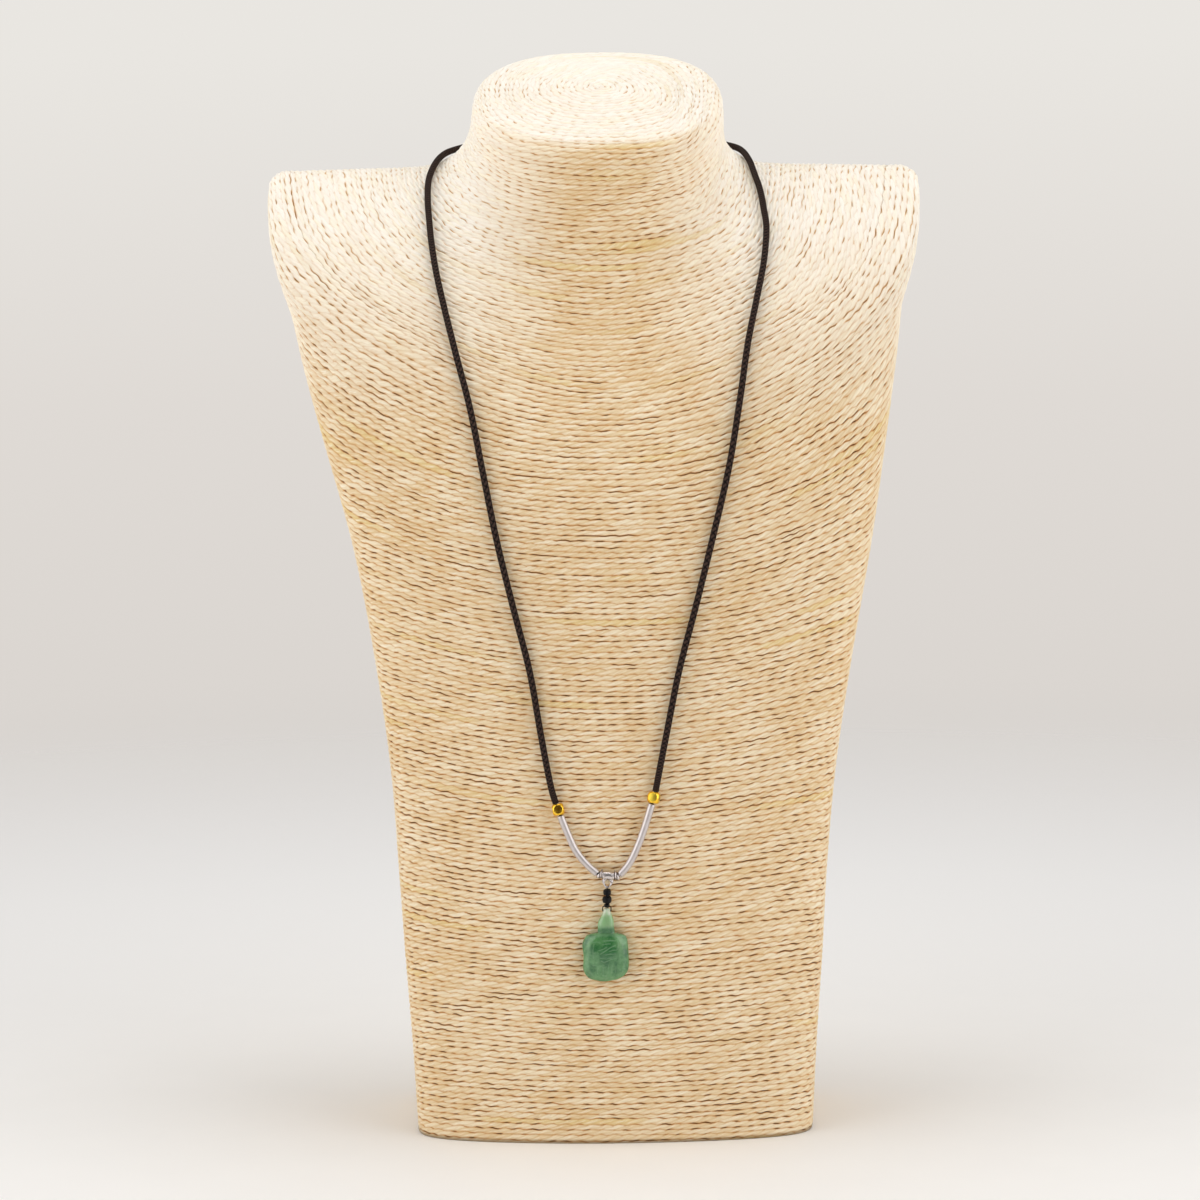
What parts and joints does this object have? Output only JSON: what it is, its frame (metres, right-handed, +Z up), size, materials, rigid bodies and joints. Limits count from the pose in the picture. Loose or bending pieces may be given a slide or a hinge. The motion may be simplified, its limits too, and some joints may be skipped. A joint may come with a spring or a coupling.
{
  "type": "jade pendant necklace on a neck bust",
  "caption": "Carved jade tortoise pendant on a black braided cord with gold beads, silver tubes and a bail bead, worn on a rope-wound neck bust.",
  "frame": {"origin": "middle of the bust's flat underside", "axes": "+Z up along the neck, front of the bust towards -Y, its left shoulder as seen from the front towards -X"},
  "size_m": [0.2412, 0.1228, 0.399],
  "materials": {
    "straw_rope": "twisted paper rope, matt",
    "black_braid": "fine braid, slight sheen",
    "gold": "polished gold plate",
    "silver": "polished silver plate",
    "jade": "polished green jade"
  },
  "bodies": {
    "root": {"neck_bust": "straw_rope", "neck_cord": "black_braid", "core_thread": "black_braid", "knotted_thread": "black_braid", "left_gold_bead": "gold", "right_gold_bead": "gold", "left_silver_tube": "silver", "right_silver_tube": "silver", "bail_bead": "silver", "jade_tortoise": "jade"}
  },
  "joints": []
}
